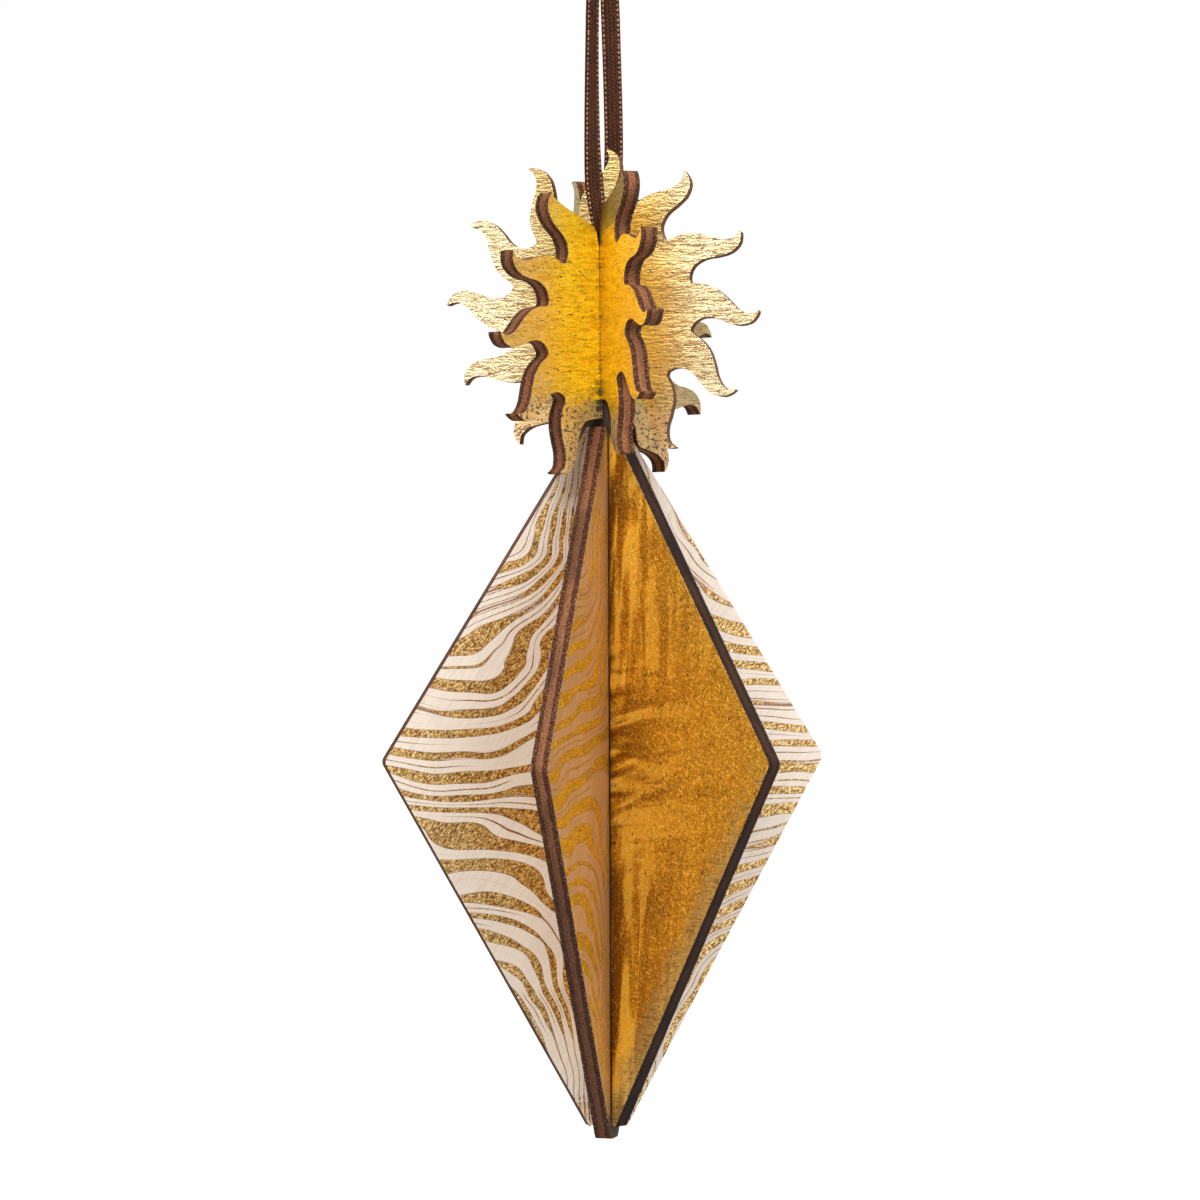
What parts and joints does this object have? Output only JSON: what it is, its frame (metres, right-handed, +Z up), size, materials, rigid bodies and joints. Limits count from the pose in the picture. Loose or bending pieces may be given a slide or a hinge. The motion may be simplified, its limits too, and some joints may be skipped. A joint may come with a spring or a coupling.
{
  "type": "hanging bauble",
  "caption": "Hanging plywood bauble: a gold-foiled sun of crossed wavy-rayed plates seated on a wavy-striped diamond of crossed kite plates, on a narrow satin ribbon",
  "frame": {"origin": "The hanging point: inside the top of the ribbon loop, just under its knot, on the bauble's vertical axis.", "axes": "+Z up along the bauble's axis. +X along the sun's hanging plate, to the right seen from the front. -Y is the front, the side that the ribbon's front strand is on."},
  "size_m": [0.0704, 0.0772, 0.2177],
  "materials": {
    "foiled_ply": "gold foil on birch plywood, dark laser-cut edges",
    "striped_ply": "bare birch with wavy gold foil stripes in front, solid gold foil behind, dark laser-cut edges",
    "ribbon_satin": "dark brown satin ribbon"
  },
  "bodies": {
    "hanger": {"ribbon_knot": "ribbon_satin"},
    "ribbon": {"ribbon_front_strand": "ribbon_satin", "ribbon_rear_strand": "ribbon_satin"},
    "bauble": {"sun_hanging_plate": "foiled_ply", "sun_middle_plate": "foiled_ply", "sun_seat_plate": "foiled_ply", "diamond_top_plate": "striped_ply", "diamond_middle_plate": "striped_ply", "diamond_bottom_plate": "striped_ply"}
  },
  "joints": [
    {"name": "ribbon_swing", "type": "hinge", "parent": "hanger", "child": "ribbon", "pos_m": [0, 0, 0], "axis": [0, 1, 0], "range_deg": [-25, 25]},
    {"name": "ribbon_twist", "type": "hinge", "parent": "ribbon", "child": "bauble", "pos_m": [0, 0, -0.045], "axis": [0, 0, 1], "range_deg": [-90, 90], "deforming": ["ribbon_front_strand", "ribbon_rear_strand"]}
  ]
}
